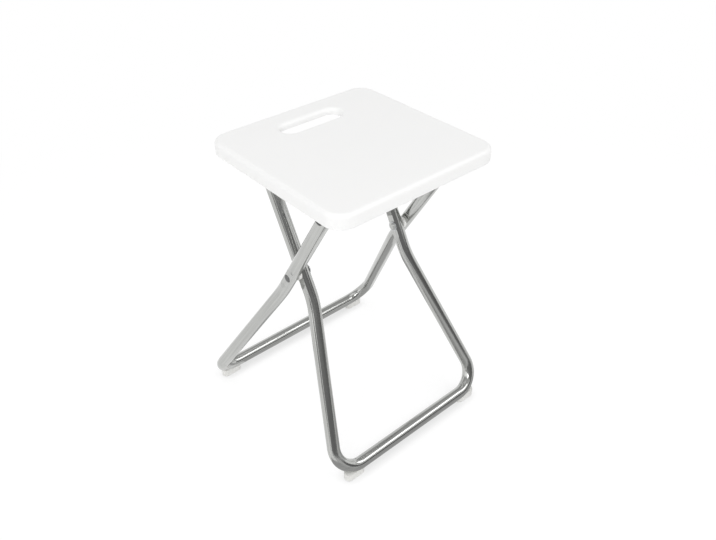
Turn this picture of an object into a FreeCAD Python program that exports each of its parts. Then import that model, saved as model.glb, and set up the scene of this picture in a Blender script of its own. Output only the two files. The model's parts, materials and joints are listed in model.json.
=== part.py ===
import FreeCAD, Part
import math
import os
from types import SimpleNamespace

import Sketcher
from FreeCAD import Placement, Rotation, Vector

# Folding stool: a moulded seat on two crossing U frames of bent steel tube.
# X runs along the pivot axis, +Y towards the handle side, +Z up from the floor.
# The origin is on the floor, midway between the two floor rails.

doc = FreeCAD.newDocument("folding_stool")
sheet = doc.addObject("Spreadsheet::Sheet", "dims")

# Driving dimensions in millimetres and degrees.
driving = [
    ("seat_width", 274.0, "seat along the pivot axis"),
    ("seat_depth", 270.0, "seat from the near edge to the handle edge"),
    ("seat_corner", 26.0, "seat corner radius in plan"),
    ("seat_height", 450.0, "floor to the sitting surface"),
    ("seat_offset", 10.9, "seat centre nearer than the middle of the rails"),
    ("rim_height", 20.0, "turned-down rim"),
    ("rim_wall", 3.0, "rim wall"),
    ("rim_round", 6.0, "rounding of the rim's upper edge"),
    ("rim_hem", 1.2, "rounding of the rim's lower edges"),
    ("deck_thickness", 3.5, "sitting surface"),
    ("rib_depth", 10.5, "ribs below the deck"),
    ("rib_thickness", 2.0, "rib wall"),
    ("rib_columns", 7, "ribs that run from edge to edge along Y"),
    ("rib_rows", 6, "ribs that run along X"),
    ("slot_length", 100.0, "handle slot, end to end"),
    ("slot_width", 29.0, "handle slot across"),
    ("slot_inset", 49.5, "slot's centre line from the handle edge"),
    ("slot_depth", 9.5, "slot wall, deck and collar together"),
    ("slot_lip", 6.0, "rounding of the slot's upper edge"),
    ("collar_wall", 2.5, "collar round the slot"),
    ("finger_room", 12.0, "clear space round the slot under the deck"),
    ("tube_dia", 19.0, "frame tube outside"),
    ("tube_wall", 1.2, "frame tube wall"),
    ("pivot_height", 281.0, "floor to the pivot axis"),
    ("inner_half", 89.4, "middle to the inner upper leg's centre line"),
    ("leg_gap", 0.4, "between the round inner and outer upper legs"),
    ("inner_rail_half", 150.0, "middle to the inner rail's drawn corner"),
    ("outer_rail_half", 168.0, "middle to the outer rail's drawn corner"),
    ("bend_drop", 46.0, "pivot to the legs' bend, along the leg"),
    ("bend_radius", 140.0, "centre line radius of the legs' bend"),
    ("corner_radius", 36.0, "centre line radius of the rail corners"),
    ("press_thickness", 14.5, "tube across its pressed flats"),
    ("press_length", 34.0, "length of the pressed flats"),
    ("press_ramp", 7.0, "run-out at each end of a flat"),
    ("rivet_dia", 8.0, "pivot rivet shank"),
    ("rivet_head_dia", 12.0, "pivot rivet heads"),
    ("rivet_head_height", 2.0, "pivot rivet heads, proud of the flat"),
    ("running_fit", 0.05, "radial clearance of a turning pin"),
    ("side_play", 0.3, "end clearance at the pivots"),
    ("spacer_dia", 18.0, "pivot spacer"),
    ("washer_dia", 15.0, "pivot washer"),
    ("washer_thickness", 1.0, "pivot washer"),
    ("hinge_drop", 32.0, "sitting surface to the hinge rod's axis"),
    ("hinge_inset", 54.4, "seat's near edge to the hinge rod's axis"),
    ("rod_dia", 8.0, "hinge rod"),
    ("rod_bevel", 0.8, "bevel on the hinge rod's ends"),
    ("leg_end", 12.0, "outer tube above the hinge rod's axis"),
    ("cap_dia", 14.0, "rod end cap"),
    ("cap_height", 5.0, "rod end cap"),
    ("cap_grip", 3.5, "rod inside its end cap"),
    ("cap_gap", 0.2, "end cap to the tube's side"),
    ("plug_head", 2.5, "crown of the outer tube plugs"),
    ("plug_depth", 4.5, "outer tube plugs inside the tube"),
    ("dome_drop", 29.0, "sitting surface to the centre of the inner leg's dome"),
    ("dome_inset", 58.0, "seat's handle edge to the centre of the inner leg's dome"),
    ("dome_stem", 14.0, "domed caps inside the inner tube"),
    ("catch_clearance", 0.4, "catch round the dome"),
    ("catch_wall", 6.0, "load side of the catch"),
    ("catch_hook", 5.0, "load side below the dome's centre"),
    ("catch_lead", 0.8, "lead-in at the tip of the load side"),
    ("catch_open", 140.0, "free end of the groove from the handle direction"),
    ("catch_under", 15.0, "groove below level on the load side"),
    ("catch_width", 22.0, "catch along the pivot axis"),
    ("catch_front", 24.0, "catch base towards the near side"),
    ("catch_back", 30.0, "catch base towards the handle side"),
    ("bracket_at", 58.0, "middle to a hinge bracket"),
    ("bracket_width", 18.0, "hinge bracket along the rod"),
    ("bracket_half", 23.0, "half the hinge bracket's base"),
    ("eye_wall", 4.5, "bracket round the rod"),
    ("base_thickness", 4.0, "bases of the brackets and catches"),
    ("base_round", 3.0, "rounding where a base meets its block"),
    ("screw_dia", 3.0, "fixing screw shank"),
    ("screw_head_dia", 7.0, "fixing screw head"),
    ("screw_head_height", 2.2, "fixing screw head"),
    ("screw_length", 11.0, "fixing screw below its head"),
    ("screw_inset", 6.5, "screw from the end of a base"),
    ("screw_clearance", 0.2, "screw in the hole of a base"),
    ("boss_dia", 9.0, "screw boss under the deck"),
    ("foot_height", 7.5, "floor to the bottom of a rail"),
    ("foot_length", 34.0, "foot along the rail"),
    ("foot_width", 15.0, "foot across the rail"),
    ("foot_grip", 6.0, "foot above the bottom of the rail"),
    ("foot_inset", 31.5, "foot's middle from the rail's drawn corner"),
    ("foot_round", 1.5, "rounding round the sole"),
    ("peg_dia", 6.0, "peg of a foot"),
    ("peg_reach", 3.0, "peg inside the tube's wall"),
    ("peg_clearance", 0.1, "peg in its hole"),
]


class Size:
    """A length or an angle that carries both its number and its formula."""

    def __init__(self, value, formula):
        self.value = value
        self.formula = formula

    def join(self, other, sign, value):
        return Size(value, f"({self.formula} {sign} {other.formula})")

    def __add__(self, other):
        other = as_size(other)
        return self.join(other, "+", self.value + other.value)

    def __sub__(self, other):
        other = as_size(other)
        return self.join(other, "-", self.value - other.value)

    def __mul__(self, other):
        other = as_size(other)
        return self.join(other, "*", self.value * other.value)

    def __truediv__(self, other):
        other = as_size(other)
        return self.join(other, "/", self.value / other.value)

    def __neg__(self):
        return Size(-self.value, f"(-1 * {self.formula})")


def as_size(item):
    return item if isinstance(item, Size) else Size(item, repr(item))


def sine(angle):
    return Size(math.sin(math.radians(angle.value)), f"sin({angle.formula} * 1 deg)")


def cosine(angle):
    return Size(math.cos(math.radians(angle.value)), f"cos({angle.formula} * 1 deg)")


def tilt_of(slope):
    """Angle from the vertical of a leg that goes sideways by slope for each millimetre of height."""
    return Size(math.degrees(math.atan(slope.value)), f"(atan({slope.formula}) / 1 deg)")


def length_of(height, slope):
    """Length along such a leg over a height."""
    return Size(height.value * math.hypot(1, slope.value), f"({height.formula} * hypot(1; {slope.formula}))")

for row, (alias, value, meaning) in enumerate(driving, start=1):
    sheet.set(f"A{row}", meaning)
    sheet.set(f"B{row}", str(value))
    sheet.setAlias(f"B{row}", alias)
doc.recompute()

size = SimpleNamespace(**{alias: Size(value, f"dims.{alias}") for alias, value, meaning in driving})
zero = as_size(0)

# Places that follow from the driving dimensions.
tube_radius = size.tube_dia / 2
bore_radius = tube_radius - size.tube_wall
flat = size.press_thickness / 2
rail_z = size.foot_height + tube_radius
pivot_drop = size.pivot_height - rail_z
outer_half = size.inner_half + size.tube_dia + size.leg_gap
rivet_radius = size.rivet_dia / 2
rod_radius = size.rod_dia / 2
screw_radius = size.screw_dia / 2
peg_radius = size.peg_dia / 2
seat_y = -size.seat_offset
hinge_z = size.seat_height - size.hinge_drop
dome_z = size.seat_height - size.dome_drop
hinge_y = seat_y - size.seat_depth / 2 + size.hinge_inset
dome_y = seat_y + size.seat_depth / 2 - size.dome_inset
hinge_rise = hinge_z - size.pivot_height
dome_rise = dome_z - size.pivot_height
base_z = size.seat_height - size.deck_thickness - size.rib_depth
dome_radius = tube_radius

# The legs run straight through the pivot, which lies where the rails come out equally far from the origin.
half_drop = pivot_drop / 2
pivot_y = ((half_drop * dome_y / dome_rise + half_drop * hinge_y / hinge_rise)
           / (half_drop / dome_rise + half_drop / hinge_rise + 1))
inner_slope = (dome_y - pivot_y) / dome_rise
outer_slope = (pivot_y - hinge_y) / hinge_rise

inner = SimpleNamespace(
    name="inner",
    half=size.inner_half,
    rail_half=size.inner_rail_half,
    arm=length_of(pivot_drop, inner_slope),
    reach=length_of(dome_rise, inner_slope),
    turn=as_size(90) - tilt_of(inner_slope),
    rail_y=pivot_y - pivot_drop * inner_slope,
    rivet_hole=rivet_radius + size.running_fit,
)
outer = SimpleNamespace(
    name="outer",
    half=outer_half,
    rail_half=size.outer_rail_half,
    arm=length_of(pivot_drop, outer_slope),
    reach=length_of(hinge_rise, outer_slope) + size.leg_end,
    turn=as_size(90) + tilt_of(outer_slope),
    rail_y=pivot_y + pivot_drop * outer_slope,
    rivet_hole=rivet_radius,
)
sides = (("left", -1), ("right", 1))
nodes = []


def bind(item, name, amount):
    item.setExpression(name, amount.formula)


def place(item, x, y, z, turn=zero):
    """Put an item at a point, turned about X."""
    item.Placement = Placement(Vector(x.value, y.value, z.value), Rotation(Vector(1, 0, 0), turn.value))
    bind(item, "Placement.Base.x", x)
    bind(item, "Placement.Base.y", y)
    bind(item, "Placement.Base.z", z)
    if turn is not zero:
        bind(item, "Placement.Rotation.Angle", turn)


def keep(item, label):
    item.Label = label
    nodes.append(item)
    return item


def new_body(name):
    return doc.addObject("PartDesign::Body", name)


def plane(body, role):
    return next(item for item in body.Origin.OriginFeatures if item.Role == role)


def new_sketch(body, name, role, lift=zero):
    sketch = body.newObject("Sketcher::SketchObject", name)
    sketch.AttachmentSupport = [(plane(body, role), "")]
    sketch.MapMode = "FlatFace"
    if lift is not zero:
        bind(sketch, "AttachmentOffset.Base.z", lift)
    return sketch


def dimension(sketch, constraint, amount):
    index = sketch.addConstraint(constraint)
    bind(sketch, f"Constraints[{index}]", amount)


def pin(sketch, item, point, x=None, y=None):
    """Fix one point of a sketch item from the sketch's origin."""
    for kind, axis, amount in (("DistanceX", -2, x), ("DistanceY", -1, y)):
        if amount is None:
            continue
        if amount is zero:
            sketch.addConstraint(Sketcher.Constraint("PointOnObject", item, point, axis))
        else:
            dimension(sketch, Sketcher.Constraint(kind, -1, 1, item, point, amount.value), amount)


def arc_about(x, y, left=True, fixed="y"):
    """An outline's curved step: its centre, its turn to the left or right, and the centre's pinned axis."""
    return SimpleNamespace(x=x, y=y, left=left, fixed=fixed)


def draw_outline(sketch, steps):
    """Closed outline through the steps' points, straight or along a step's arc to the next point."""
    drawn = []
    for step, following in zip(steps, steps[1:] + steps[:1]):
        start = Vector(step[0].value, step[1].value, 0)
        end = Vector(following[0].value, following[1].value, 0)
        if len(step) == 2:
            drawn.append((sketch.addGeometry(Part.LineSegment(start, end)), 1, 2))
            continue
        arc = step[2]
        centre = Vector(arc.x.value, arc.y.value, 0)
        first, last = (start, end) if arc.left else (end, start)
        angles = [math.atan2(point.y - centre.y, point.x - centre.x) for point in (first, last)]
        circle = Part.Circle(centre, Vector(0, 0, 1), start.distanceToPoint(centre))
        item = sketch.addGeometry(Part.ArcOfCircle(circle, angles[0], angles[1]))
        drawn.append((item, 1, 2) if arc.left else (item, 2, 1))
    for (item, start, end), (next_item, next_start, next_end) in zip(drawn, drawn[1:] + drawn[:1]):
        sketch.addConstraint(Sketcher.Constraint("Coincident", item, end, next_item, next_start))
    for step, (item, start, end) in zip(steps, drawn):
        pin(sketch, item, start, step[0], step[1])
        if len(step) == 3 and step[2].fixed == "x":
            pin(sketch, item, 3, x=step[2].x)
        elif len(step) == 3:
            pin(sketch, item, 3, y=step[2].y)


def draw_rectangle(sketch, x, y, half_x, half_y):
    draw_outline(sketch, [(x - half_x, y - half_y), (x + half_x, y - half_y),
                          (x + half_x, y + half_y), (x - half_x, y + half_y)])


def draw_rounded(sketch, half_x, half_y, radius):
    """Rectangle about the sketch's origin with rounded corners."""
    flat_x = half_x - radius
    flat_y = half_y - radius
    draw_outline(sketch, [(-flat_x, -half_y),
                          (flat_x, -half_y, arc_about(flat_x, -flat_y, fixed="x")),
                          (half_x, -flat_y),
                          (half_x, flat_y, arc_about(flat_x, flat_y, fixed="x")),
                          (flat_x, half_y),
                          (-flat_x, half_y, arc_about(-flat_x, flat_y, fixed="x")),
                          (-half_x, flat_y),
                          (-half_x, -flat_y, arc_about(-flat_x, -flat_y, fixed="x"))])


def draw_stadium(sketch, y, half_length, radius):
    """Slot outline along X, centred on the sketch's vertical axis."""
    end = half_length - radius
    draw_outline(sketch, [(-end, y - radius),
                          (end, y - radius, arc_about(end, y, fixed="x")),
                          (end, y + radius),
                          (-end, y + radius, arc_about(-end, y, fixed="x"))])


def draw_circle(sketch, x, y, radius):
    circle = Part.Circle(Vector(x.value, y.value, 0), Vector(0, 0, 1), radius.value)
    item = sketch.addGeometry(circle)
    dimension(sketch, Sketcher.Constraint("Radius", item, radius.value), radius)
    pin(sketch, item, 3, x, y)


def add_pad(body, name, sketch, length, symmetric=False):
    pad = body.newObject("PartDesign::Pad", name)
    pad.Profile = sketch
    bind(pad, "Length", length)
    if symmetric:
        pad.SideType = "Symmetric"
    return pad


def add_pocket(body, name, sketch, length, upwards=False, symmetric=False):
    pocket = body.newObject("PartDesign::Pocket", name)
    pocket.Profile = sketch
    pocket.Reversed = upwards
    bind(pocket, "Length", length)
    if symmetric:
        pocket.SideType = "Symmetric"
    return pocket


def add_revolution(body, name, sketch, axis):
    turned = body.newObject("PartDesign::Revolution", name)
    turned.Profile = sketch
    turned.ReferenceAxis = (sketch, [axis])
    turned.Angle = 360
    return turned


def add_fillet(body, name, base, radius, chosen):
    """Round the base feature's edges that the test chooses."""
    doc.recompute()
    names = [f"Edge{number}" for number, edge in enumerate(base.Shape.Edges, start=1) if chosen(edge)]
    fillet = body.newObject("PartDesign::Fillet", name)
    fillet.Base = (base, names)
    bind(fillet, "Radius", radius)
    return fillet


def level(edge, height):
    """Whether an edge lies flat at a height of its body."""
    box = edge.BoundBox
    return abs(box.ZMin - height.value) < 1e-4 and abs(box.ZMax - height.value) < 1e-4


def bent_rod(frame, name, radius, half_flat, top):
    """Solid rod along a U frame, pressed to flats at the pivots: local Y runs up the legs from the pivot axis."""
    body = new_body(name)
    splay = math.atan2(frame.rail_half.value - frame.half.value, frame.arm.value - size.bend_drop.value)
    corner_run = size.corner_radius.value * math.tan((math.pi / 2 + splay) / 2)
    bend_run = size.bend_radius.value * math.tan(splay / 2)
    corner_centre = Vector(frame.rail_half.value - corner_run, size.corner_radius.value - frame.arm.value, 0)
    bend_centre = Vector(frame.half.value + size.bend_radius.value, bend_run - size.bend_drop.value, 0)
    corner = Part.ArcOfCircle(Part.Circle(corner_centre, Vector(0, 0, 1), size.corner_radius.value),
                              -math.pi / 2, splay)
    bend = Part.ArcOfCircle(Part.Circle(bend_centre, Vector(0, 0, 1), size.bend_radius.value),
                            math.pi, math.pi + splay)

    spine = new_sketch(body, name + "_spine", "XY_Plane")
    rail = spine.addGeometry(Part.LineSegment(Vector(0, -frame.arm.value, 0), corner.StartPoint))
    corner = spine.addGeometry(corner)
    leg = spine.addGeometry(Part.LineSegment(spine.Geometry[corner].EndPoint, bend.EndPoint))
    bend = spine.addGeometry(bend)
    upper = spine.addGeometry(Part.LineSegment(spine.Geometry[bend].StartPoint,
                                               Vector(frame.half.value, top.value, 0)))
    drawn_corner = spine.addGeometry(Part.Point(Vector(frame.rail_half.value, -frame.arm.value, 0)), True)
    drawn_bend = spine.addGeometry(Part.Point(Vector(frame.half.value, -size.bend_drop.value, 0)), True)
    for first, first_end, second, second_end in ((rail, 2, corner, 1), (corner, 2, leg, 1),
                                                 (leg, 2, bend, 2), (bend, 1, upper, 1)):
        spine.addConstraint(Sketcher.Constraint("Tangent", first, first_end, second, second_end))
    spine.addConstraint(Sketcher.Constraint("Horizontal", rail))
    spine.addConstraint(Sketcher.Constraint("Vertical", upper))
    pin(spine, rail, 1, zero, -frame.arm)
    pin(spine, upper, 2, frame.half, top)
    pin(spine, drawn_corner, 1, frame.rail_half, -frame.arm)
    pin(spine, drawn_bend, 1, frame.half, -size.bend_drop)
    for point in (drawn_corner, drawn_bend):
        spine.addConstraint(Sketcher.Constraint("PointOnObject", point, 1, leg))
    dimension(spine, Sketcher.Constraint("Radius", corner, size.corner_radius.value), size.corner_radius)
    dimension(spine, Sketcher.Constraint("Radius", bend, size.bend_radius.value), size.bend_radius)

    section = new_sketch(body, name + "_section", "YZ_Plane")
    draw_circle(section, -frame.arm, zero, radius)
    pipe = body.newObject("PartDesign::AdditivePipe", name + "_pipe")
    pipe.Profile = section
    pipe.Spine = (spine, [f"Edge{number}" for number in range(1, 6)])

    # Each flat runs out to the round tube on a ramp; the cutter ends well outside the tube.
    rise = radius - half_flat
    clear = rise * 2
    flat_end = size.press_length / 2
    ramp_end = flat_end + size.press_ramp * 2
    press = new_sketch(body, name + "_press", "XY_Plane")
    for side in (1, -1):
        face = frame.half + half_flat * side
        out = frame.half + (half_flat + clear) * side
        draw_outline(press, [(face, -flat_end), (face, flat_end), (out, ramp_end), (out, -ramp_end)])
    flats = add_pocket(body, name + "_flats", press, radius * 3, symmetric=True)
    mirror = body.newObject("PartDesign::Mirrored", name + "_both_sides")
    mirror.Originals = [pipe, flats]
    mirror.MirrorPlane = (plane(body, "YZ_Plane"), [""])
    body.Tip = mirror
    place(body, zero, pivot_y, size.pivot_height, frame.turn)
    return body


def cross_drill(name, radius, y, z):
    """Cutter along X through both legs."""
    drill = doc.addObject("Part::Cylinder", name)
    half = size.outer_rail_half * 1
    bind(drill, "Radius", radius)
    bind(drill, "Height", half * 2)
    drill.Placement = Placement(Vector(-half.value, y.value, z.value), Rotation(Vector(0, 1, 0), 90))
    bind(drill, "Placement.Base.x", -half)
    bind(drill, "Placement.Base.y", y)
    bind(drill, "Placement.Base.z", z)
    return drill


def foot_x(frame, side):
    return (frame.rail_half - size.foot_inset) * side


def make_tube(frame):
    """Hollow tube of one frame with its rivet, rod and foot peg holes."""
    rod = bent_rod(frame, frame.name + "_rod", tube_radius, flat, frame.reach)
    bore = bent_rod(frame, frame.name + "_bore", bore_radius, flat - size.tube_wall,
                    frame.reach + size.tube_wall)
    drills = [bore, cross_drill(frame.name + "_rivet_hole", frame.rivet_hole, pivot_y, size.pivot_height)]
    if frame is outer:
        drills.append(cross_drill("rod_hole", rod_radius, hinge_y, hinge_z))
    for side_name, side in sides:
        hole = doc.addObject("Part::Cylinder", f"{frame.name}_peg_hole_{side_name}")
        bind(hole, "Radius", peg_radius + size.peg_clearance)
        bind(hole, "Height", rail_z)
        place(hole, foot_x(frame, side), frame.rail_y, zero)
        drills.append(hole)
    cutters = doc.addObject("Part::MultiFuse", frame.name + "_cutters")
    cutters.Shapes = drills
    tube = doc.addObject("Part::Cut", frame.name + "_tube")
    tube.Base = rod
    tube.Tool = cutters
    keep(tube, frame.name + "_tube")
    return rod


def make_foot(frame, side_name, side, rod):
    """Glide under a rail corner: a block that hugs the tube, with a peg into the tube."""
    name = f"{frame.name}_foot_{side_name}"
    body = new_body(name + "_block")
    sole = new_sketch(body, name + "_sole", "XY_Plane")
    draw_stadium(sole, zero, size.foot_length / 2, size.foot_width / 2)
    block = add_pad(body, name + "_pad", sole, size.foot_height + size.foot_grip)
    add_fillet(body, name + "_round", block, size.foot_round, lambda edge: level(edge, zero))
    place(body, foot_x(frame, side), frame.rail_y, zero)
    seat_on_tube = doc.addObject("Part::Cut", name + "_saddle")
    seat_on_tube.Base = body
    seat_on_tube.Tool = rod
    peg = doc.addObject("Part::Cylinder", name + "_peg")
    bind(peg, "Radius", peg_radius)
    bind(peg, "Height", size.foot_height / 2 + size.tube_wall + size.peg_reach)
    place(peg, foot_x(frame, side), frame.rail_y, size.foot_height / 2)
    foot = doc.addObject("Part::Fuse", name)
    foot.Base = seat_on_tube
    foot.Tool = peg
    keep(foot, name)


def make_ring(name, outside, inside, length, x):
    """Flat ring round the pivot axis, from x towards +X."""
    body = new_body(name)
    sketch = new_sketch(body, name + "_face", "YZ_Plane")
    draw_circle(sketch, zero, zero, outside)
    draw_circle(sketch, zero, zero, inside)
    add_pad(body, name + "_pad", sketch, length)
    place(body, x, pivot_y, size.pivot_height)
    keep(body, name)


def make_pivot(side_name, side):
    """Rivet, spacer and washer of one pivot, from the outer leg's flat to the inner leg's."""
    outer_face = outer_half + flat
    washer_face = size.inner_half - flat
    spacer_face = outer_half - flat
    head_face = washer_face - size.washer_thickness - size.side_play
    head_end = head_face - size.rivet_head_height
    head_radius = size.rivet_head_dia / 2
    spacer_length = outer_half - size.inner_half - size.press_thickness - size.side_play
    crown = outer_face + size.rivet_head_height
    crown_radius = (head_radius * head_radius / size.rivet_head_height + size.rivet_head_height) / 2
    dome = arc_about((crown - crown_radius) * side, zero, left=side < 0)

    name = f"pivot_rivet_{side_name}"
    body = new_body(name)
    profile = new_sketch(body, name + "_profile", "XY_Plane")
    draw_outline(profile, [(head_end * side, zero),
                           (head_end * side, rivet_radius),
                           (head_face * side, head_radius),
                           (head_face * side, rivet_radius),
                           (outer_face * side, rivet_radius),
                           (outer_face * side, head_radius, dome),
                           (crown * side, zero)])
    add_revolution(body, name + "_turned", profile, "H_Axis")
    place(body, zero, pivot_y, size.pivot_height)
    keep(body, name)

    near_face, far_face = (spacer_face, spacer_face - spacer_length)
    spacer_x = far_face if side > 0 else -near_face
    make_ring(f"pivot_spacer_{side_name}", size.spacer_dia / 2, rivet_radius, spacer_length, spacer_x)
    washer_x = washer_face - size.washer_thickness if side > 0 else -washer_face
    make_ring(f"pivot_washer_{side_name}", size.washer_dia / 2, rivet_radius + size.running_fit,
              size.washer_thickness, washer_x)


def make_hinge_rod():
    """Rod along X through both outer leg tops, with a push-on cap on each end."""
    tube_side = outer_half + tube_radius + size.cap_gap
    end = tube_side + size.cap_grip
    body = new_body("hinge_rod")
    profile = new_sketch(body, "rod_profile", "XY_Plane")
    draw_outline(profile, [(-end, zero), (-end, rod_radius - size.rod_bevel), (size.rod_bevel - end, rod_radius),
                           (end - size.rod_bevel, rod_radius), (end, rod_radius - size.rod_bevel), (end, zero)])
    add_revolution(body, "rod_turned", profile, "H_Axis")
    place(body, zero, hinge_y, hinge_z)
    keep(body, "hinge_rod")
    cap_radius = size.cap_dia / 2
    crown = tube_side + size.cap_height
    for side_name, side in sides:
        name = f"hinge_rod_cap_{side_name}"
        cap = new_body(name)
        profile = new_sketch(cap, name + "_profile", "XY_Plane")
        draw_outline(profile, [(tube_side * side, rod_radius),
                               (tube_side * side, cap_radius),
                               (end * side, cap_radius),
                               (crown * side, rod_radius),
                               (crown * side, zero),
                               (end * side, zero),
                               (end * side, rod_radius)])
        add_revolution(cap, name + "_turned", profile, "H_Axis")
        place(cap, zero, hinge_y, hinge_z)
        keep(cap, name)


def make_leg_end(name, x, y, z, turn, profile_steps):
    """Plug turned about a leg's centre line: local Y runs up the leg."""
    body = new_body(name)
    profile = new_sketch(body, name + "_profile", "XY_Plane")
    draw_outline(profile, profile_steps)
    add_revolution(body, name + "_turned", profile, "V_Axis")
    place(body, x, y, z, turn)
    keep(body, name)


def make_leg_ends():
    end = size.leg_end
    top = end + size.plug_head
    crown_radius = (tube_radius * tube_radius / size.plug_head + size.plug_head) / 2
    crown = arc_about(zero, top - crown_radius, fixed="x")
    plug = [(zero, end - size.plug_depth), (bore_radius, end - size.plug_depth), (bore_radius, end),
            (tube_radius, end, crown), (zero, top)]
    dome = [(zero, -size.dome_stem), (bore_radius, -size.dome_stem), (bore_radius, zero),
            (dome_radius, zero, arc_about(zero, zero, fixed="x")), (zero, dome_radius)]
    for side_name, side in sides:
        make_leg_end(f"outer_plug_{side_name}", outer_half * side, hinge_y, hinge_z, outer.turn, plug)
        make_leg_end(f"inner_cap_{side_name}", size.inner_half * side, dome_y, dome_z, inner.turn, dome)


def make_block(name, x, y, z, width, steps, eye, top, screw_ys):
    """Moulded block under the seat: a profile across X with a base, drilled for its screws."""
    body = new_body(name)
    profile = new_sketch(body, name + "_profile", "YZ_Plane")
    draw_outline(profile, steps)
    if eye:
        draw_circle(profile, zero, zero, eye)
    block = add_pad(body, name + "_block", profile, width, symmetric=True)
    base_bottom = top - size.base_thickness
    roots = [(step[0].value, step[1].value) for step in steps if step[1] is steps[-1][1]]
    roots = sorted(roots)[1:-1]

    def at_root(edge):
        middle = edge.BoundBox.Center
        along_x = edge.BoundBox.XLength > width.value / 2 and edge.BoundBox.YLength < 1e-4
        return along_x and any(abs(middle.y - ry) < 1e-4 and abs(middle.z - rz) < 1e-4 for ry, rz in roots)

    add_fillet(body, name + "_roots", block, size.base_round, at_root)
    holes = new_sketch(body, name + "_screw_points", "XY_Plane", top)
    for screw_y in screw_ys:
        draw_circle(holes, zero, screw_y, screw_radius + size.screw_clearance)
    add_pocket(body, name + "_screw_holes", holes, top - base_bottom)
    place(body, x, y, z)
    keep(body, name)


bracket_screws = [size.screw_inset - size.bracket_half, size.bracket_half - size.screw_inset]
catch_screws = [size.screw_inset - size.catch_front, size.catch_back - size.screw_inset]


def make_brackets():
    top = base_z - hinge_z
    bottom = top - size.base_thickness
    eye = rod_radius + size.running_fit
    wall = rod_radius + size.eye_wall
    half = size.bracket_half
    steps = [(half, top), (-half, top), (-half, bottom), (-wall, bottom),
             (-wall, zero, arc_about(zero, zero)), (wall, zero), (wall, bottom), (half, bottom)]
    for side_name, side in sides:
        make_block(f"hinge_bracket_{side_name}", size.bracket_at * side, hinge_y, hinge_z,
                   size.bracket_width, steps, eye, top, bracket_screws)


def make_catches():
    """Saddles open towards the near side and below, closed towards the handle side."""
    top = base_z - dome_z
    bottom = top - size.base_thickness
    groove = dome_radius + size.catch_clearance
    back = groove + size.catch_wall
    nose = groove * cosine(size.catch_open)
    nose_z = groove * sine(size.catch_open)
    tip = groove * cosine(size.catch_under)
    tip_z = -groove * sine(size.catch_under)
    steps = [(size.catch_back, top), (-size.catch_front, top), (-size.catch_front, bottom), (-groove, bottom),
             (nose, nose_z, arc_about(zero, zero, left=False)),
             (tip, tip_z), (groove + size.catch_lead, -size.catch_hook), (back, -size.catch_hook),
             (back, bottom), (size.catch_back, bottom)]
    for side_name, side in sides:
        make_block(f"catch_{side_name}", size.inner_half * side, dome_y, dome_z,
                   size.catch_width, steps, None, top, catch_screws)


def make_screws(name, x, y, offsets):
    """Pan-headed screws that come up through a pair of bases into the seat's bosses."""
    head_radius = size.screw_head_dia / 2
    head = size.screw_head_height
    screws = []
    for side_name, side in sides:
        for number, offset in enumerate(offsets, start=1):
            screw_name = f"{name}_{side_name}_{number}"
            body = new_body(screw_name)
            profile = new_sketch(body, screw_name + "_profile", "XZ_Plane")
            draw_outline(profile, [(zero, -head), (head_radius / 2, -head), (head_radius, -head / 2),
                                   (head_radius, zero), (screw_radius, zero), (screw_radius, size.screw_length),
                                   (zero, size.screw_length + screw_radius)])
            add_revolution(body, screw_name + "_turned", profile, "V_Axis")
            place(body, x * side, y + offset, base_z - size.base_thickness)
            screws.append(body)
    group = doc.addObject("Part::Compound", name)
    group.Links = screws
    keep(group, name)


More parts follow.
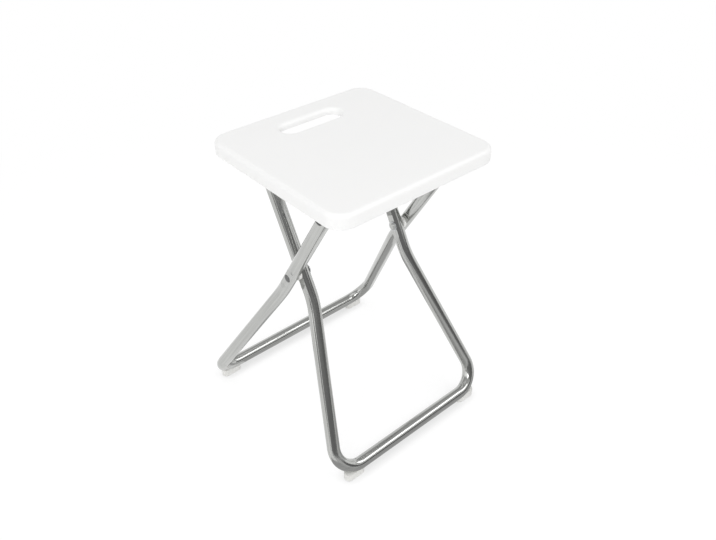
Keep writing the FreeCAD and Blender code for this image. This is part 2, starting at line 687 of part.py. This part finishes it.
def make_seat():
    """Moulded shell: local Z starts at the rim's lower edge and local Y at the seat's middle."""
    body = new_body("seat_shell")
    half_x = size.seat_width / 2
    half_y = size.seat_depth / 2
    inside_x = half_x - size.rim_wall
    inside_y = half_y - size.rim_wall
    deck_z = size.rim_height - size.deck_thickness
    rib_z = deck_z - size.rib_depth
    slot_y = half_y - size.slot_inset
    slot_half = size.slot_length / 2
    slot_radius = size.slot_width / 2

    plan = new_sketch(body, "seat_plan", "XY_Plane")
    draw_rounded(plan, half_x, half_y, size.seat_corner)
    block = add_pad(body, "seat_block", plan, size.rim_height)
    add_fillet(body, "seat_rim_round", block, size.rim_round, lambda edge: level(edge, size.rim_height))
    cavity = new_sketch(body, "seat_cavity", "XY_Plane")
    draw_rounded(cavity, inside_x, inside_y, size.seat_corner - size.rim_wall)
    hollow = add_pocket(body, "seat_hollow", cavity, deck_z, upwards=True)
    add_fillet(body, "seat_hem", hollow, size.rim_hem, lambda edge: level(edge, zero))

    # The grid of ribs ends half way into the rim's wall.
    rib_half = size.rib_thickness / 2
    bite = size.rim_wall / 2
    for name, count, span, across, axis in (("columns", size.rib_columns, inside_x * 2, inside_y + bite, "H_Axis"),
                                            ("rows", size.rib_rows, inside_y * 2, inside_x + bite, "V_Axis")):
        first = -span / 2 + span / (count + 1)
        rib = new_sketch(body, "first_of_" + name, "XY_Plane", rib_z)
        if axis == "H_Axis":
            draw_rectangle(rib, first, zero, rib_half, across)
        else:
            draw_rectangle(rib, zero, first, across, rib_half)
        pad = add_pad(body, "rib_of_" + name, rib, size.rib_depth)
        pattern = body.newObject("PartDesign::LinearPattern", "all_" + name)
        pattern.Originals = [pad]
        pattern.Direction = (rib, [axis])
        bind(pattern, "Length", span - span / (count + 1) * 2)
        bind(pattern, "Occurrences", count)
        body.Tip = pattern

    room = new_sketch(body, "finger_space", "XY_Plane", rib_z)
    draw_rectangle(room, zero, slot_y, slot_half + size.finger_room, slot_radius + size.finger_room)
    add_pocket(body, "finger_cut", room, size.rib_depth, upwards=True)
    ring = new_sketch(body, "collar_plan", "XY_Plane", size.rim_height - size.slot_depth)
    draw_stadium(ring, slot_y, slot_half + size.collar_wall, slot_radius + size.collar_wall)
    add_pad(body, "collar", ring, size.slot_depth - size.deck_thickness)

    boss_points = [(size.bracket_at * side, hinge_y - seat_y + offset)
                   for offset in bracket_screws for side_name, side in sides]
    boss_points += [(size.inner_half * side, dome_y - seat_y + offset)
                    for offset in catch_screws for side_name, side in sides]
    bosses = new_sketch(body, "boss_plan", "XY_Plane", rib_z)
    pilots = new_sketch(body, "pilot_plan", "XY_Plane", rib_z)
    for x, y in boss_points:
        draw_circle(bosses, x, y, size.boss_dia / 2)
        draw_circle(pilots, x, y, screw_radius)
    add_pad(body, "bosses", bosses, size.rib_depth)
    pilot_depth = size.screw_length - size.base_thickness + screw_radius
    add_pocket(body, "pilot_holes", pilots, pilot_depth, upwards=True)

    slot = new_sketch(body, "slot_plan", "XY_Plane", size.rim_height)
    draw_stadium(slot, slot_y, slot_half, slot_radius)
    opened = add_pocket(body, "slot_cut", slot, size.rim_height)

    def slot_edge(edge):
        box = edge.BoundBox
        near_slot = abs(box.Center.y - slot_y.value) <= slot_radius.value + 1e-4
        return level(edge, size.rim_height) and near_slot and abs(box.Center.x) <= slot_half.value

    add_fillet(body, "slot_lip_round", opened, size.slot_lip, slot_edge)
    place(body, zero, seat_y, size.seat_height - size.rim_height)
    keep(body, "seat_shell")


for frame in (outer, inner):
    solid_rod = make_tube(frame)
    for side_name, side in sides:
        make_foot(frame, side_name, side, solid_rod)
for side_name, side in sides:
    make_pivot(side_name, side)
make_hinge_rod()
make_leg_ends()
make_brackets()
make_catches()
make_screws("hinge_bracket_screws", size.bracket_at, hinge_y, bracket_screws)
make_screws("catch_screws", size.inner_half, dome_y, catch_screws)
make_seat()
doc.recompute()

for item in doc.Objects:
    if "Invalid" in item.State or "Error" in item.State:
        raise RuntimeError(f"{item.Label} failed: {item.State}")
for node in nodes:
    if node.Shape.isNull() or not node.Shape.isValid() or not node.Shape.Solids:
        raise RuntimeError(f"{node.Label} has no valid solid")

os.makedirs("parts", exist_ok=True)
for node in nodes:
    node.Shape.exportStep(f"parts/{node.Label}.step")
    print(node.Label, len(node.Shape.Solids), "solids", round(node.Shape.Volume), "mm3")
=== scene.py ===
import json

import bmesh
import bpy
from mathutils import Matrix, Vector

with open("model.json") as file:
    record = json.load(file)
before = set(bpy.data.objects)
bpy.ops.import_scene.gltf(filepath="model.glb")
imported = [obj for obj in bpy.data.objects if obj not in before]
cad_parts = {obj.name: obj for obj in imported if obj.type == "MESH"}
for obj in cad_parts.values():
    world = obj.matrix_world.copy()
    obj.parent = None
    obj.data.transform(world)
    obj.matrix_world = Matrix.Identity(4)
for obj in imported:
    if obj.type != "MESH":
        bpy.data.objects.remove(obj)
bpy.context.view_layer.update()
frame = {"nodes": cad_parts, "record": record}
scene = bpy.context.scene
scene.view_settings.view_transform = "Standard"
mm = 0.001
print("stool frame loaded:", len(frame["nodes"]), "nodes")


# node helpers

# a setting is one of the node's own, or an input: From_Min sets the input From Min
def addNode(tree, kind, **settings):
    node = tree.nodes.new(kind)
    for name, value in settings.items():
        if hasattr(node, name):
            setattr(node, name, value)
        else:
            node.inputs[name.replace("_", " ")].default_value = value
    return node


# a Mix node has its sockets once for each kind of value, told apart only by this longer name
def mixSocket(sockets, longName):
    return next(socket for socket in sockets if socket.identifier == longName)


def newGroup(name, inputs, outputs):
    tree = bpy.data.node_groups.new(name, "ShaderNodeTree")
    for socket, kind, value in inputs:
        made = tree.interface.new_socket(socket, in_out="INPUT", socket_type=kind)
        made.default_value = value
    for socket, kind in outputs:
        tree.interface.new_socket(socket, in_out="OUTPUT", socket_type=kind)
    return tree, tree.nodes.new("NodeGroupInput"), tree.nodes.new("NodeGroupOutput")


# fine spark-eroded grain and faint tone drift of a moulded surface
def makeMouldedGrain():
    tree, given, out = newGroup("mouldedGrain",
                                [("Colour", "NodeSocketColor", (0.9, 0.9, 0.9, 1.0)),
                                 ("Drift", "NodeSocketFloat", 0.02),
                                 ("Grain scale", "NodeSocketFloat", 1400.0),
                                 ("Gloss", "NodeSocketFloat", 0.35),
                                 ("Gloss spread", "NodeSocketFloat", 0.08)],
                                [("Colour", "NodeSocketColor"), ("Roughness", "NodeSocketFloat"),
                                 ("Height", "NodeSocketFloat")])
    link = tree.links.new
    place = addNode(tree, "ShaderNodeTexCoord")
    drift = addNode(tree, "ShaderNodeTexNoise", Scale=9.0, Detail=3.0, Roughness=0.5)
    grain = addNode(tree, "ShaderNodeTexNoise", Detail=2.0, Roughness=0.6)
    shade = addNode(tree, "ShaderNodeMath", operation="MULTIPLY")
    darker = addNode(tree, "ShaderNodeMath", operation="SUBTRACT")
    darker.inputs[0].default_value = 1.0  # full colour, less the shade
    tint = addNode(tree, "ShaderNodeVectorMath", operation="SCALE")
    spread = addNode(tree, "ShaderNodeMath", operation="MULTIPLY")
    rough = addNode(tree, "ShaderNodeMath", operation="ADD")
    link(place.outputs["Object"], drift.inputs["Vector"])
    link(place.outputs["Object"], grain.inputs["Vector"])
    link(given.outputs["Grain scale"], grain.inputs["Scale"])
    link(drift.outputs["Fac"], shade.inputs[0])
    link(given.outputs["Drift"], shade.inputs[1])
    link(shade.outputs[0], darker.inputs[1])
    link(given.outputs["Colour"], tint.inputs[0])
    link(darker.outputs[0], tint.inputs["Scale"])
    link(drift.outputs["Fac"], spread.inputs[0])
    link(given.outputs["Gloss spread"], spread.inputs[1])
    link(given.outputs["Gloss"], rough.inputs[0])
    link(spread.outputs[0], rough.inputs[1])
    link(tint.outputs[0], out.inputs["Colour"])
    link(rough.outputs[0], out.inputs["Roughness"])
    link(grain.outputs["Fac"], out.inputs["Height"])
    return tree


# handling haze and fine polishing lines on metal
def makePolishedHaze():
    tree, given, out = newGroup("polishedHaze",
                                [("Colour", "NodeSocketColor", (0.7, 0.7, 0.7, 1.0)),
                                 ("Polish", "NodeSocketFloat", 0.1),
                                 ("Haze", "NodeSocketFloat", 0.08),
                                 ("Haze scale", "NodeSocketFloat", 24.0),
                                 ("Lines", "NodeSocketFloat", 0.5),
                                 ("Line depth", "NodeSocketFloat", 0.0),
                                 ("Grain scale", "NodeSocketFloat", 900.0)],
                                [("Colour", "NodeSocketColor"), ("Roughness", "NodeSocketFloat"),
                                 ("Height", "NodeSocketFloat")])
    link = tree.links.new
    place = addNode(tree, "ShaderNodeTexCoord")
    haze = addNode(tree, "ShaderNodeTexNoise", Detail=4.0, Roughness=0.55)
    grain = addNode(tree, "ShaderNodeTexNoise", Detail=2.0, Roughness=0.5)
    amount = addNode(tree, "ShaderNodeMath", operation="MULTIPLY")
    rough = addNode(tree, "ShaderNodeMath", operation="ADD")
    dim = addNode(tree, "ShaderNodeMapRange", To_Min=1.0, To_Max=0.92)
    tint = addNode(tree, "ShaderNodeVectorMath", operation="SCALE")
    scored = addNode(tree, "ShaderNodeMath", operation="MULTIPLY")
    kept = addNode(tree, "ShaderNodeMath", operation="SUBTRACT")
    link(place.outputs["Object"], haze.inputs["Vector"])
    link(place.outputs["Object"], grain.inputs["Vector"])
    link(given.outputs["Haze scale"], haze.inputs["Scale"])
    link(given.outputs["Grain scale"], grain.inputs["Scale"])
    link(haze.outputs["Fac"], amount.inputs[0])
    link(given.outputs["Haze"], amount.inputs[1])
    link(given.outputs["Polish"], rough.inputs[0])
    link(amount.outputs[0], rough.inputs[1])
    link(haze.outputs["Fac"], dim.inputs["Value"])
    link(given.outputs["Lines"], scored.inputs[0])
    link(given.outputs["Line depth"], scored.inputs[1])
    link(dim.outputs[0], kept.inputs[0])
    link(scored.outputs[0], kept.inputs[1])
    link(given.outputs["Colour"], tint.inputs[0])
    link(kept.outputs[0], tint.inputs["Scale"])
    link(tint.outputs[0], out.inputs["Colour"])
    link(rough.outputs[0], out.inputs["Roughness"])
    link(grain.outputs["Fac"], out.inputs["Height"])
    return tree


# lines left by drawing the tube: up each leg, with its splay, and along the floor rail
drawnTube = {"pivot": (0.0, -8.89, 281.0), "bendDrop": 46.0, "railTop": (25.0, 55.0), "stretch": 0.015,
             "lineScale": 260.0, "lineSpread": (0.36, 0.64)}


def makeDrawnLines():
    tree, given, out = newGroup("drawnLines",
                                [("Tilt", "NodeSocketFloat", 0.5), ("Splay", "NodeSocketFloat", 0.23)],
                                [("Lines", "NodeSocketFloat")])
    link = tree.links.new

    def maths(operation, first, second=None):
        node = addNode(tree, "ShaderNodeMath", operation=operation)
        for socket, value in zip(node.inputs, (first, second)):
            if isinstance(value, float):
                socket.default_value = value
            elif value is not None:
                link(value, socket)
        return node.outputs[0]

    def together(*parts):
        node = addNode(tree, "ShaderNodeCombineXYZ")
        for socket, value in zip(node.inputs, parts):
            link(value, socket)
        return node.outputs[0]

    place = addNode(tree, "ShaderNodeTexCoord").outputs["Object"]
    fromPivot = addNode(tree, "ShaderNodeVectorMath", operation="SUBTRACT")
    fromPivot.inputs[1].default_value = Vector(drawnTube["pivot"]) * mm
    upright = addNode(tree, "ShaderNodeVectorRotate", rotation_type="X_AXIS")
    legParts = addNode(tree, "ShaderNodeSeparateXYZ")
    railParts = addNode(tree, "ShaderNodeSeparateXYZ")
    link(place, fromPivot.inputs[0])
    link(fromPivot.outputs[0], upright.inputs["Vector"])
    link(given.outputs["Tilt"], upright.inputs["Angle"])
    link(upright.outputs[0], legParts.inputs[0])
    link(place, railParts.inputs[0])

    stretch = drawnTube["stretch"]
    drop = maths("SUBTRACT", -drawnTube["bendDrop"] * mm, legParts.outputs["Z"])
    belowBend = maths("MAXIMUM", drop, 0.0)
    across = maths("SUBTRACT", maths("ABSOLUTE", legParts.outputs["X"]),
                   maths("MULTIPLY", belowBend, given.outputs["Splay"]))
    legPlace = together(across, legParts.outputs["Y"],
                        maths("MULTIPLY", legParts.outputs["Z"], stretch))
    railPlace = together(maths("MULTIPLY", railParts.outputs["X"], stretch),
                         railParts.outputs["Y"], railParts.outputs["Z"])

    railTop, legStart = drawnTube["railTop"]
    fewest, most = drawnTube["lineSpread"]
    onLeg = addNode(tree, "ShaderNodeMapRange", From_Min=railTop * mm, From_Max=legStart * mm)
    either = addNode(tree, "ShaderNodeMix", data_type="VECTOR")
    lines = addNode(tree, "ShaderNodeTexNoise", Scale=drawnTube["lineScale"], Detail=3.0, Roughness=0.6)
    spread = addNode(tree, "ShaderNodeMapRange", From_Min=fewest, From_Max=most)
    link(railParts.outputs["Z"], onLeg.inputs["Value"])
    link(onLeg.outputs[0], either.inputs["Factor"])
    link(railPlace, mixSocket(either.inputs, "A_Vector"))
    link(legPlace, mixSocket(either.inputs, "B_Vector"))
    link(mixSocket(either.outputs, "Result_Vector"), lines.inputs["Vector"])
    link(lines.outputs["Fac"], spread.inputs["Value"])
    link(spread.outputs[0], out.inputs["Lines"])
    return tree


mouldedGrain = makeMouldedGrain()
polishedHaze = makePolishedHaze()
drawnLines = makeDrawnLines()
print("surface effects made")


# finishes

def newMaterial(name, effect, bumpDepth, effectValues, shaderValues):
    material = bpy.data.materials.new(name)
    material.use_nodes = True
    tree = material.node_tree
    tree.nodes.clear()
    out = addNode(tree, "ShaderNodeOutputMaterial")
    shader = addNode(tree, "ShaderNodeBsdfPrincipled")
    for socket, value in shaderValues.items():
        shader.inputs[socket].default_value = value
    finish = addNode(tree, "ShaderNodeGroup", node_tree=effect, name="finish")
    for socket, value in effectValues.items():
        finish.inputs[socket].default_value = value
    bump = addNode(tree, "ShaderNodeBump", Strength=1.0, Distance=bumpDepth)
    tree.links.new(finish.outputs["Colour"], shader.inputs["Base Color"])
    tree.links.new(finish.outputs["Roughness"], shader.inputs["Roughness"])
    tree.links.new(finish.outputs["Height"], bump.inputs["Height"])
    tree.links.new(bump.outputs["Normal"], shader.inputs["Normal"])
    tree.links.new(shader.outputs[0], out.inputs["Surface"])
    return material


seatPlastic = newMaterial("seatPlastic", mouldedGrain, bumpDepth=0.012 * mm,
                          effectValues={"Colour": (0.89, 0.89, 0.885, 1.0), "Drift": 0.025,
                                        "Grain scale": 1500.0, "Gloss": 0.3, "Gloss spread": 0.1},
                          shaderValues={"IOR": 1.49, "Specular IOR Level": 0.45})
whiteNylon = newMaterial("whiteNylon", mouldedGrain, bumpDepth=0.01 * mm,
                         effectValues={"Colour": (0.85, 0.85, 0.83, 1.0), "Drift": 0.05,
                                       "Grain scale": 2200.0, "Gloss": 0.42, "Gloss spread": 0.12},
                         shaderValues={"IOR": 1.53, "Specular IOR Level": 0.4})
glidePlastic = newMaterial("glidePlastic", mouldedGrain, bumpDepth=0.01 * mm,
                           effectValues={"Colour": (0.87, 0.865, 0.84, 1.0), "Drift": 0.08,
                                         "Grain scale": 1800.0, "Gloss": 0.3, "Gloss spread": 0.12},
                           shaderValues={"IOR": 1.46, "Transmission Weight": 0.12,
                                         "Specular IOR Level": 0.35})
capPlastic = newMaterial("capPlastic", mouldedGrain, bumpDepth=0.01 * mm,
                         effectValues={"Colour": (0.055, 0.055, 0.053, 1.0), "Drift": 0.05,
                                       "Grain scale": 2200.0, "Gloss": 0.38, "Gloss spread": 0.12},
                         shaderValues={"IOR": 1.5, "Specular IOR Level": 0.4})
zincSteel = newMaterial("zincSteel", polishedHaze, bumpDepth=0.004 * mm,
                        effectValues={"Colour": (0.6, 0.61, 0.62, 1.0), "Polish": 0.24,
                                      "Haze": 0.14, "Haze scale": 60.0, "Grain scale": 1600.0},
                        shaderValues={"Metallic": 1.0})

# how far each frame's legs lean, in radians, and the slope of their splay below the bend
innerLegs = {"Tilt": 0.4823, "Splay": 0.2342}
outerLegs = {"Tilt": -0.5327, "Splay": 0.2214}


def newChrome(name, legs):
    material = newMaterial(name, polishedHaze, bumpDepth=0.0015 * mm,
                           effectValues={"Colour": (0.56, 0.565, 0.55, 1.0), "Polish": 0.11,
                                         "Haze": 0.08, "Haze scale": 22.0,
                                         "Line depth": 0.16, "Grain scale": 700.0},
                           shaderValues={"Metallic": 1.0})
    tree = material.node_tree
    lines = addNode(tree, "ShaderNodeGroup", node_tree=drawnLines)
    for socket, value in legs.items():
        lines.inputs[socket].default_value = value
    tree.links.new(lines.outputs["Lines"], tree.nodes["finish"].inputs["Lines"])
    return material


innerChrome = newChrome("innerChrome", innerLegs)
outerChrome = newChrome("outerChrome", outerLegs)

# painted shade: the rivet's head outside the legs is coloured dark to stand in for the shade around the
# pivot; its set end between them keeps the plating colour
rivetPaintedShade = {"outside": (0.18, 0.18, 0.18, 1.0), "inside": (0.55, 0.555, 0.54, 1.0),
             "change": (95.0, 103.0)}  # from the middle of the stool


def newRivetSteel():
    material = newMaterial("rivetSteel", polishedHaze, bumpDepth=0.006 * mm,
                           effectValues={"Polish": 0.3, "Haze": 0.15, "Haze scale": 90.0,
                                         "Grain scale": 2200.0},
                           shaderValues={"Metallic": 1.0})
    tree = material.node_tree
    link = tree.links.new
    start, end = rivetPaintedShade["change"]
    place = addNode(tree, "ShaderNodeTexCoord")
    parts = addNode(tree, "ShaderNodeSeparateXYZ")
    fromMiddle = addNode(tree, "ShaderNodeMath", operation="ABSOLUTE")
    # painted shade: this mask turns the rivet heads outside the legs to the dark colour
    paintedShadeMask = addNode(tree, "ShaderNodeMapRange", From_Min=start * mm, From_Max=end * mm)
    tone = addNode(tree, "ShaderNodeMix", data_type="RGBA")
    mixSocket(tone.inputs, "A_Color").default_value = rivetPaintedShade["inside"]
    mixSocket(tone.inputs, "B_Color").default_value = rivetPaintedShade["outside"]
    link(place.outputs["Object"], parts.inputs[0])
    link(parts.outputs["X"], fromMiddle.inputs[0])
    link(fromMiddle.outputs[0], paintedShadeMask.inputs["Value"])
    link(paintedShadeMask.outputs[0], tone.inputs["Factor"])
    link(mixSocket(tone.outputs, "Result_Color"), tree.nodes["finish"].inputs["Colour"])
    return material


rivetSteel = newRivetSteel()

slotMaterials = {"seat_plastic": seatPlastic, "white_nylon": whiteNylon, "glide_plastic": glidePlastic,
                 "chromed_tube": outerChrome, "zinc_steel": zincSteel}
for entry in frame["record"]["subparts"]:
    node = frame["nodes"][entry["node"]]
    node.data.materials.clear()
    node.data.materials.append(slotMaterials[entry["material_slot"]])
frame["nodes"]["inner_tube"].data.materials[0] = innerChrome
for side in ("left", "right"):
    frame["nodes"]["pivot_rivet_" + side].data.materials[0] = rivetSteel
    frame["nodes"]["hinge_rod_cap_" + side].data.materials[0] = capPlastic
print("finishes assigned")


# studio

studio = {"floorHalf": 6.0, "floorColour": (0.9, 0.9, 0.9, 1.0), "shadeReach": (0.3, 1.2),
          "nearLift": (0.47, 0.76), "contactReach": 0.016, "contactSamples": 8,
          "shadeDepth": (0.28, 0.28, 0.28, 1.0), "skyColour": (1.0, 1.0, 1.0, 1.0), "skyLight": 0.6}


# 1 for the rays that show the background itself, 0 for those that light the stool
def seenRays(tree):
    path = addNode(tree, "ShaderNodeLightPath")
    plain = addNode(tree, "ShaderNodeMath", operation="MAXIMUM")
    mirrored = addNode(tree, "ShaderNodeMath", operation="MAXIMUM")
    tree.links.new(path.outputs["Is Camera Ray"], plain.inputs[0])
    tree.links.new(path.outputs["Is Glossy Ray"], plain.inputs[1])
    tree.links.new(plain.outputs[0], mirrored.inputs[0])
    tree.links.new(path.outputs["Is Transmission Ray"], mirrored.inputs[1])
    return mirrored.outputs[0]


# white further off, with a soft shade close to the stool
def newFloorMaterial():
    material = bpy.data.materials.new("studioFloor")
    material.use_nodes = True
    tree = material.node_tree
    tree.nodes.clear()
    link = tree.links.new
    touching, clearOf = studio["nearLift"]
    fadeStart, fadeEnd = studio["shadeReach"]
    out = addNode(tree, "ShaderNodeOutputMaterial")
    matte = addNode(tree, "ShaderNodeBsdfDiffuse", Color=studio["floorColour"])
    shaded = addNode(tree, "ShaderNodeBsdfDiffuse", Color=studio["shadeDepth"])
    lift = addNode(tree, "ShaderNodeEmission")
    contact = addNode(tree, "ShaderNodeAmbientOcclusion", samples=studio["contactSamples"],
                      Distance=studio["contactReach"])
    closeness = addNode(tree, "ShaderNodeMapRange", To_Min=touching, To_Max=clearOf)
    white = addNode(tree, "ShaderNodeEmission")
    near = addNode(tree, "ShaderNodeAddShader")
    shown = addNode(tree, "ShaderNodeMixShader")
    place = addNode(tree, "ShaderNodeTexCoord")
    away = addNode(tree, "ShaderNodeVectorMath", operation="LENGTH")
    fade = addNode(tree, "ShaderNodeMapRange", From_Min=fadeStart, From_Max=fadeEnd)
    both = addNode(tree, "ShaderNodeMixShader")
    facing = addNode(tree, "ShaderNodeNewGeometry")
    clear = addNode(tree, "ShaderNodeBsdfTransparent")
    oneSided = addNode(tree, "ShaderNodeMixShader")  # from below, the stool shows through the floor
    link(place.outputs["Object"], away.inputs[0])
    link(away.outputs["Value"], fade.inputs["Value"])
    link(fade.outputs[0], shown.inputs["Fac"])
    link(contact.outputs["AO"], closeness.inputs["Value"])
    link(closeness.outputs[0], lift.inputs["Strength"])
    link(lift.outputs[0], near.inputs[0])
    link(shaded.outputs[0], near.inputs[1])
    link(near.outputs[0], shown.inputs[1])
    link(white.outputs[0], shown.inputs[2])
    link(seenRays(tree), both.inputs["Fac"])
    link(matte.outputs[0], both.inputs[1])
    link(shown.outputs[0], both.inputs[2])
    link(facing.outputs["Backfacing"], oneSided.inputs["Fac"])
    link(both.outputs[0], oneSided.inputs[1])
    link(clear.outputs[0], oneSided.inputs[2])
    link(oneSided.outputs[0], out.inputs["Surface"])
    return material


def makeFloor():
    bm = bmesh.new()
    bmesh.ops.create_grid(bm, x_segments=1, y_segments=1, size=studio["floorHalf"])
    mesh = bpy.data.meshes.new("studioFloor")
    bm.to_mesh(mesh)
    bm.free()
    floor = bpy.data.objects.new("studioFloor", mesh)
    scene.collection.objects.link(floor)
    mesh.materials.append(newFloorMaterial())


def makeSky():
    world = bpy.data.worlds.new("studioSky")
    scene.world = world
    world.use_nodes = True
    tree = world.node_tree
    tree.nodes.clear()
    out = addNode(tree, "ShaderNodeOutputWorld")
    back = addNode(tree, "ShaderNodeBackground", Color=studio["skyColour"])
    level = addNode(tree, "ShaderNodeMapRange", To_Min=studio["skyLight"], To_Max=1.0)
    tree.links.new(seenRays(tree), level.inputs["Value"])
    tree.links.new(level.outputs[0], back.inputs["Strength"])
    tree.links.new(back.outputs[0], out.inputs["Surface"])


softboxes = {
    "keyLight": {"place": (-1.75, -1.65, 1.8), "aim": (0.0, 0.0, 0.35), "size": (1.6, 1.2), "watts": 25.5},
    "topLight": {"place": (-0.3, 0.5, 2.5), "aim": (0.0, 0.0, 0.3), "size": (2.4, 2.0), "watts": 8.5},
    "leftLight": {"place": (-2.2, 0.2, 0.9), "aim": (0.0, 0.0, 0.3), "size": (1.6, 1.6), "watts": 4.5},
    "rightLight": {"place": (1.45, -1.62, 2.35), "aim": (0.0, 0.0, 0.2), "size": (2.6, 0.9), "watts": 19.5},
}


def addSoftbox(name, place, aim, size, watts):
    data = bpy.data.lights.new(name, "AREA")
    data.shape = "RECTANGLE"
    data.size, data.size_y = size
    data.energy = watts
    lamp = bpy.data.objects.new(name, data)
    lamp.location = place
    lamp.rotation_euler = (Vector(aim) - Vector(place)).to_track_quat("-Z", "Y").to_euler()
    scene.collection.objects.link(lamp)


# cards that only polished surfaces see, turned towards their aim, or level without one
cards = {
    "frontFlag": {"place": (-0.74, -1.6, 0.65), "aim": (0.0, 0.0, 0.65), "size": (2.65, 1.3), "tone": 0.22},
    "rightFlag": {"place": (0.9, -1.73, 0.37), "aim": (0.0, 0.0, 0.37), "size": (1.42, 0.76), "tone": 0.16},
    "frontFloorFlag": {"place": (0.05, -0.95, 0.003), "size": (1.7, 1.3), "tone": 0.68},
    "nearRailShade": {"place": (0.0, -0.21, 0.003), "size": (0.44, 0.18), "tone": 0.52},
    "backRailShade": {"place": (0.03, 0.11, 0.003), "size": (0.28, 0.16), "tone": 0.58},
    "leftFlag": {"place": (-2.0, -0.4, 0.35), "aim": (0.0, 0.0, 0.35), "size": (0.7, 0.5), "tone": 0.3},
    "ceilingFlag": {"place": (0.0, 0.0, 2.7), "size": (8.0, 8.0), "tone": 0.5},
}


def addCard(name, place, size, tone, aim=None):
    width, height = size
    bm = bmesh.new()
    bmesh.ops.create_grid(bm, x_segments=1, y_segments=1, size=0.5)  # one metre each way
    bmesh.ops.scale(bm, vec=(width, height, 1.0), verts=bm.verts)
    if aim:
        turn = (Vector(aim) - Vector(place)).to_track_quat("Z", "Y").to_matrix().to_4x4()
        bmesh.ops.transform(bm, matrix=turn, verts=bm.verts)
    bmesh.ops.translate(bm, vec=place, verts=bm.verts)
    mesh = bpy.data.meshes.new(name)
    bm.to_mesh(mesh)
    bm.free()
    card = bpy.data.objects.new(name, mesh)
    scene.collection.objects.link(card)
    card.visible_camera = False
    card.visible_diffuse = False
    card.visible_transmission = False
    card.visible_shadow = False
    material = bpy.data.materials.new(name)
    material.use_nodes = True
    tree = material.node_tree
    tree.nodes.clear()
    out = addNode(tree, "ShaderNodeOutputMaterial")
    glow = addNode(tree, "ShaderNodeEmission", Color=(tone, tone, tone, 1.0))
    tree.links.new(glow.outputs[0], out.inputs["Surface"])
    mesh.materials.append(material)


makeFloor()
makeSky()
for name, values in softboxes.items():
    addSoftbox(name, **values)
for name, values in cards.items():
    addCard(name, **values)
print("studio lit")


# viewpoint of the photograph

camera = {"lens": 36.41, "sensor": 36.0, "eye": (-558.3, -663.8, 882.2), "aim": (0.0, -22.8, 246.5)}


def placeCamera():
    data = bpy.data.cameras.new("camera")
    data.lens = camera["lens"]
    data.sensor_width = camera["sensor"]
    eye, aim = Vector(camera["eye"]), Vector(camera["aim"])
    viewpoint = bpy.data.objects.new("camera", data)
    viewpoint.location = eye * mm
    viewpoint.rotation_euler = (aim - eye).to_track_quat("-Z", "Y").to_euler()
    scene.collection.objects.link(viewpoint)
    scene.camera = viewpoint


placeCamera()
print("camera placed")

bpy.context.view_layer.update()
